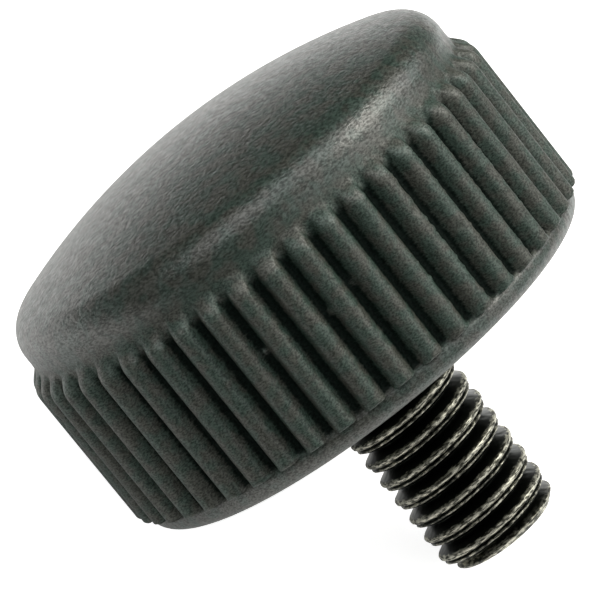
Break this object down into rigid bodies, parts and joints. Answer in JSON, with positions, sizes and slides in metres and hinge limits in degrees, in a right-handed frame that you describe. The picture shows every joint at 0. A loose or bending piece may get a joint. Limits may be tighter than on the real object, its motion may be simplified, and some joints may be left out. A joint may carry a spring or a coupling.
{
  "type": "knurled knob",
  "caption": "Domed plastic hand knob with a straight-knurled rim and a fixed steel threaded stud, for tightening or adjusting by hand",
  "frame": {"origin": "on the table under the middle of the bounding box, with the knob lying on its flange and stud tip", "axes": "the knob's axis lies in the XZ plane, stud towards +X and down, domed cap towards -X and up; +Y is across the ridges"},
  "size_m": [0.0162, 0.016, 0.0158],
  "materials": {
    "knob_plastic": "fine matt grain",
    "black_steel": "blackened, glossy"
  },
  "bodies": {
    "root": {"knob_head": "knob_plastic", "threaded_stud": "black_steel"}
  },
  "joints": []
}
